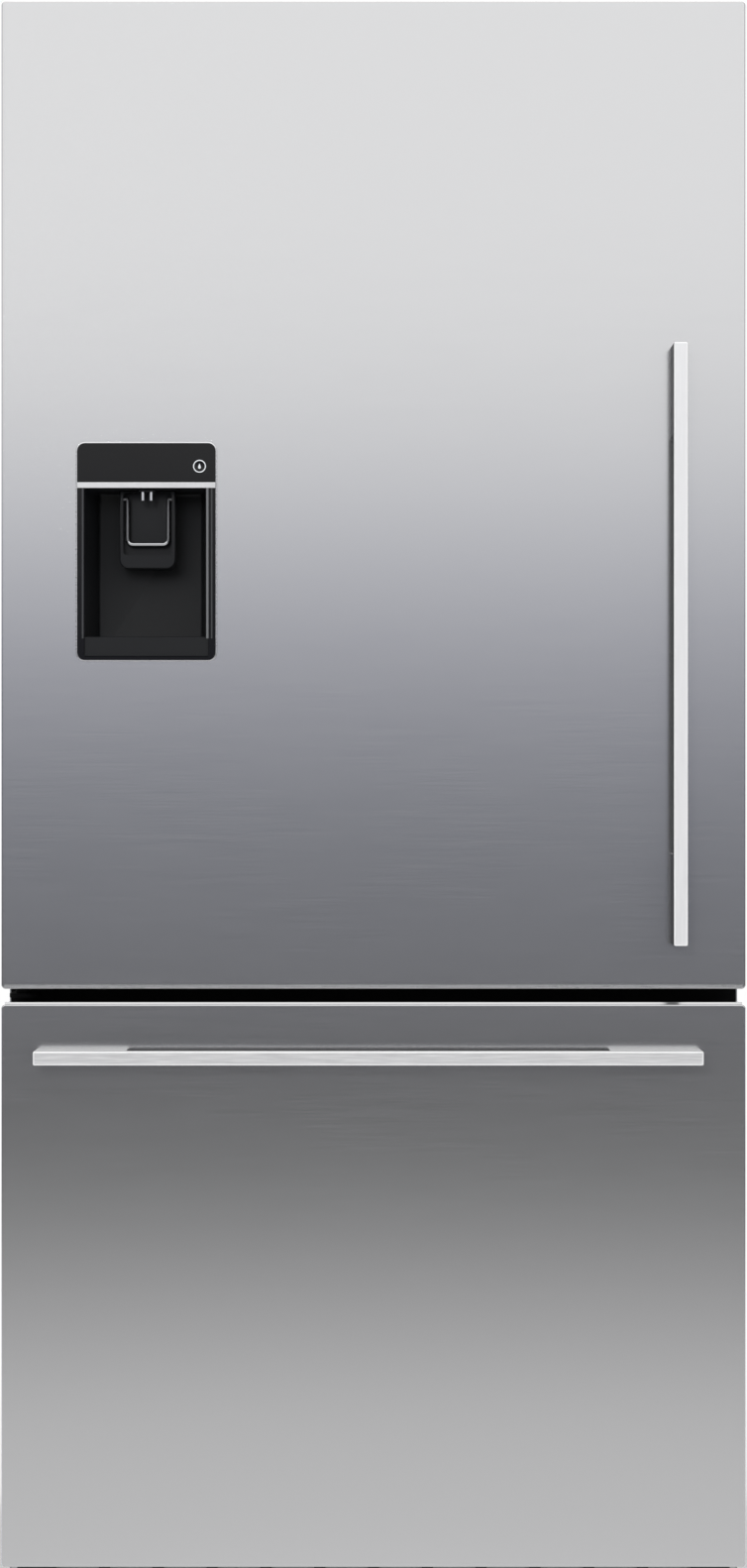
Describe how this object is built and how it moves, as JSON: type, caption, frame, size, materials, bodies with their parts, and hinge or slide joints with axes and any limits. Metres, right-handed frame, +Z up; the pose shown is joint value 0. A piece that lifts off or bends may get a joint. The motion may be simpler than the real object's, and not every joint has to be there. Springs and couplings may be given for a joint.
{
  "type": "bottom freezer refrigerator",
  "caption": "Free-standing refrigerator: flat steel door hinged on the left with a water dispenser, freezer drawer below, slim bar handles, shelves, door bins and crispers inside.",
  "frame": {"origin": "on the floor, at the centre of the whole footprint with the handles", "axes": "+Z up, the front faces -Y, +X to the right of someone facing the front"},
  "size_m": [0.79, 0.742, 1.715],
  "materials": {
    "stainless_front": "fine horizontal brushing",
    "handle_metal": "brushed along the length",
    "painted_cabinet": "satin grey paint",
    "zinc_steel": "zinc plated",
    "black_steel": "satin black paint",
    "gloss_black": "polished",
    "satin_black": "satin moulded",
    "white_plastic": "semi-gloss moulded",
    "clear_plastic": "clear moulded",
    "shelf_glass": "polished",
    "gasket_rubber": "soft matte",
    "foam": "rigid insulating foam",
    "aluminium": "plain"
  },
  "bodies": {
    "cabinet": {"cabinet_wrapper": "painted_cabinet", "rear_panel": "painted_cabinet", "cabinet_foam": "foam", "fridge_liner": "white_plastic", "freezer_liner": "white_plastic", "base_frame": "zinc_steel", "base_grille": "satin_black", "mullion_rail": "black_steel", "hinge_middle": "black_steel", "hinge_top": "zinc_steel", "hinge_top_cover": "satin_black", "compressor": "black_steel", "condenser_coil": "black_steel", "condenser_fan_mount": "satin_black", "drain_pan": "satin_black", "water_valve": "white_plastic", "machine_cover": "satin_black", "evaporator": "aluminium", "evaporator_cover": "white_plastic", "fridge_duct": "white_plastic", "lamp_cover": "clear_plastic", "water_filter": "white_plastic", "shelf_middle": "shelf_glass", "shelf_upper": "shelf_glass", "crisper_cover": "clear_plastic", "runner_fixed_left": "zinc_steel", "runner_fixed_right": "zinc_steel"},
    "upper_door": {"door_panel": "stainless_front", "door_inner": "white_plastic", "door_gasket": "gasket_rubber", "door_bin_lower": "clear_plastic", "door_bin_middle": "clear_plastic", "door_bin_upper": "clear_plastic", "door_handle": "handle_metal", "dispenser_bezel": "gloss_black", "dispenser_recess": "satin_black", "dispenser_strip": "aluminium", "spout_housing": "satin_black", "dispenser_nozzle": "handle_metal", "drip_tray": "satin_black"},
    "freezer_drawer": {"drawer_panel": "stainless_front", "drawer_inner": "white_plastic", "drawer_gasket": "gasket_rubber", "drawer_handle": "handle_metal", "runner_drawer_left": "zinc_steel", "runner_drawer_right": "zinc_steel", "freezer_bin": "white_plastic"},
    "runner_left": {"runner_middle_left": "zinc_steel"},
    "runner_right": {"runner_middle_right": "zinc_steel"},
    "tray": {"freezer_tray": "white_plastic"},
    "vegetable_left": {"crisper_left": "clear_plastic"},
    "vegetable_right": {"crisper_right": "clear_plastic"},
    "lever": {"dispenser_lever": "handle_metal"},
    "button": {"dispenser_button": "gloss_black"},
    "condenser_rotor": {"condenser_fan": "satin_black"},
    "evaporator_rotor": {"evaporator_fan": "satin_black"},
    "roller_left": {"roller_rear_left": "satin_black"},
    "roller_right": {"roller_rear_right": "satin_black"},
    "foot_left": {"foot_front_left": "satin_black"},
    "foot_right": {"foot_front_right": "satin_black"}
  },
  "joints": [
    {"name": "upper_door_swing", "type": "hinge", "parent": "cabinet", "child": "upper_door", "pos_m": [-0.375, -0.291, 0.65], "axis": [0, 0, -1], "range_deg": [0, 120]},
    {"name": "drawer_slide", "type": "slide", "parent": "cabinet", "child": "freezer_drawer", "axis": [0, -1, 0], "range_m": [0, 0.4]},
    {"name": "runner_left_slide", "type": "slide", "parent": "cabinet", "child": "runner_left", "axis": [0, -1, 0], "range_m": [0, 0.2]},
    {"name": "runner_right_slide", "type": "slide", "parent": "cabinet", "child": "runner_right", "axis": [0, -1, 0], "range_m": [0, 0.2]},
    {"name": "tray_slide", "type": "slide", "parent": "freezer_drawer", "child": "tray", "axis": [0, -1, 0], "range_m": [0, 0.15]},
    {"name": "crisper_left_slide", "type": "slide", "parent": "cabinet", "child": "vegetable_left", "axis": [0, -1, 0], "range_m": [0, 0.05]},
    {"name": "crisper_right_slide", "type": "slide", "parent": "cabinet", "child": "vegetable_right", "axis": [0, -1, 0], "range_m": [0, 0.05]},
    {"name": "lever_swing", "type": "hinge", "parent": "upper_door", "child": "lever", "pos_m": [-0.242, -0.282, 1.1807], "axis": [1, 0, 0], "range_deg": [0, 12], "stiffness_Nm_per_rad": 0.05},
    {"name": "button_press", "type": "slide", "parent": "upper_door", "child": "button", "axis": [0, 1, 0], "range_m": [0, 0.001], "stiffness_N_per_m": 400},
    {"name": "condenser_fan_spin", "type": "hinge", "parent": "cabinet", "child": "condenser_rotor", "pos_m": [-0.1098, 0.28, 0.152], "axis": [1, 0, 0], "continuous": true},
    {"name": "evaporator_fan_spin", "type": "hinge", "parent": "cabinet", "child": "evaporator_rotor", "pos_m": [0, 0.231, 0.55275], "axis": [0, 1, 0], "continuous": true},
    {"name": "roller_left_spin", "type": "hinge", "parent": "cabinet", "child": "roller_left", "pos_m": [-0.35, 0.32, 0.016], "axis": [1, 0, 0], "continuous": true},
    {"name": "roller_right_spin", "type": "hinge", "parent": "cabinet", "child": "roller_right", "pos_m": [0.35, 0.32, 0.016], "axis": [1, 0, 0], "continuous": true},
    {"name": "foot_left_turn", "type": "hinge", "parent": "cabinet", "child": "foot_left", "pos_m": [-0.36, -0.205, 0], "axis": [0, 0, 1], "continuous": true},
    {"name": "foot_right_turn", "type": "hinge", "parent": "cabinet", "child": "foot_right", "pos_m": [0.36, -0.205, 0], "axis": [0, 0, 1], "continuous": true}
  ],
  "couplings": [
    {"joint": "runner_left_slide", "follows": "drawer_slide", "ratio": 0.5},
    {"joint": "runner_right_slide", "follows": "drawer_slide", "ratio": 0.5}
  ]
}
